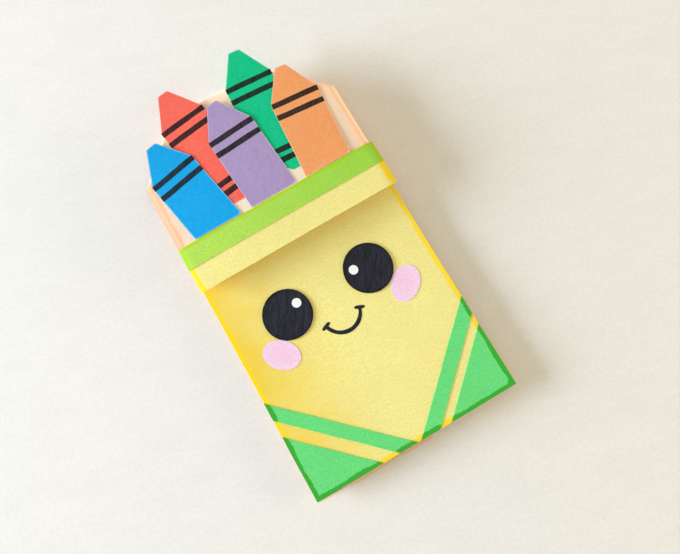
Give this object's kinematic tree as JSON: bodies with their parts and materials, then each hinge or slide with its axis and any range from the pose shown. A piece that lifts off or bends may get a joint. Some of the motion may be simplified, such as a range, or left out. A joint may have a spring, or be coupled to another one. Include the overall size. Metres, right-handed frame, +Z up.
{
  "type": "paper bag puppet",
  "caption": "Flat-bottomed paper bag hand puppet with a hinged flap mouth, paper crayons on the flap and a glued paper face.",
  "frame": {"origin": "middle of the back wall's outer face, on the surface the puppet lies on", "axes": "+X to the viewer's right across the bag, +Y along the bag towards the top fold and the crayon tips, +Z up through the face"},
  "size_m": [0.154, 0.3044, 0.0158],
  "materials": {
    "bag_paper": "smooth tan kraft paper",
    "yellow_paper": "matt craft paper",
    "lime_paper": "matt craft paper",
    "green_paper": "matt craft paper",
    "black_card": "marker-coloured card",
    "white_paper": "matt",
    "pink_paper": "matt craft paper",
    "crayon_red_paper": "matt craft paper",
    "crayon_green_paper": "matt craft paper",
    "crayon_blue_paper": "matt craft paper",
    "crayon_purple_paper": "matt craft paper",
    "crayon_orange_paper": "matt craft paper"
  },
  "bodies": {
    "back": {"back_wall": "bag_paper", "back_seam": "bag_paper", "left_pleat_back": "bag_paper", "right_pleat_back": "bag_paper"},
    "front": {"front_wall": "bag_paper", "face_sheet": "yellow_paper", "left_pleat_front": "bag_paper", "right_pleat_front": "bag_paper", "left_corner": "green_paper", "left_stripe": "green_paper", "right_corner": "green_paper", "right_stripe": "green_paper", "left_eye": "black_card", "right_eye": "black_card", "left_glint": "white_paper", "right_glint": "white_paper", "left_cheek": "pink_paper", "right_cheek": "pink_paper"},
    "upper_jaw": {"jaw_panel": "bag_paper", "jaw_side_left": "bag_paper", "jaw_side_right": "bag_paper", "jaw_corner_left": "bag_paper", "jaw_corner_right": "bag_paper", "jaw_lip": "bag_paper", "top_fold": "bag_paper", "mouth_lining": "bag_paper", "jaw_strip": "yellow_paper", "jaw_band": "lime_paper", "crayon_red": "crayon_red_paper", "crayon_green": "crayon_green_paper", "crayon_blue": "crayon_blue_paper", "crayon_purple": "crayon_purple_paper", "crayon_orange": "crayon_orange_paper"}
  },
  "joints": [
    {"name": "bag_open", "type": "hinge", "parent": "back", "child": "front", "pos_m": [0, 0.1395, 0.0003], "axis": [-1, 0, 0], "range_deg": [0, 8]},
    {"name": "mouth_open", "type": "hinge", "parent": "front", "child": "upper_jaw", "pos_m": [0, 0.1395, 0.0003], "axis": [-1, 0, 0], "range_deg": [0, 40]}
  ]
}
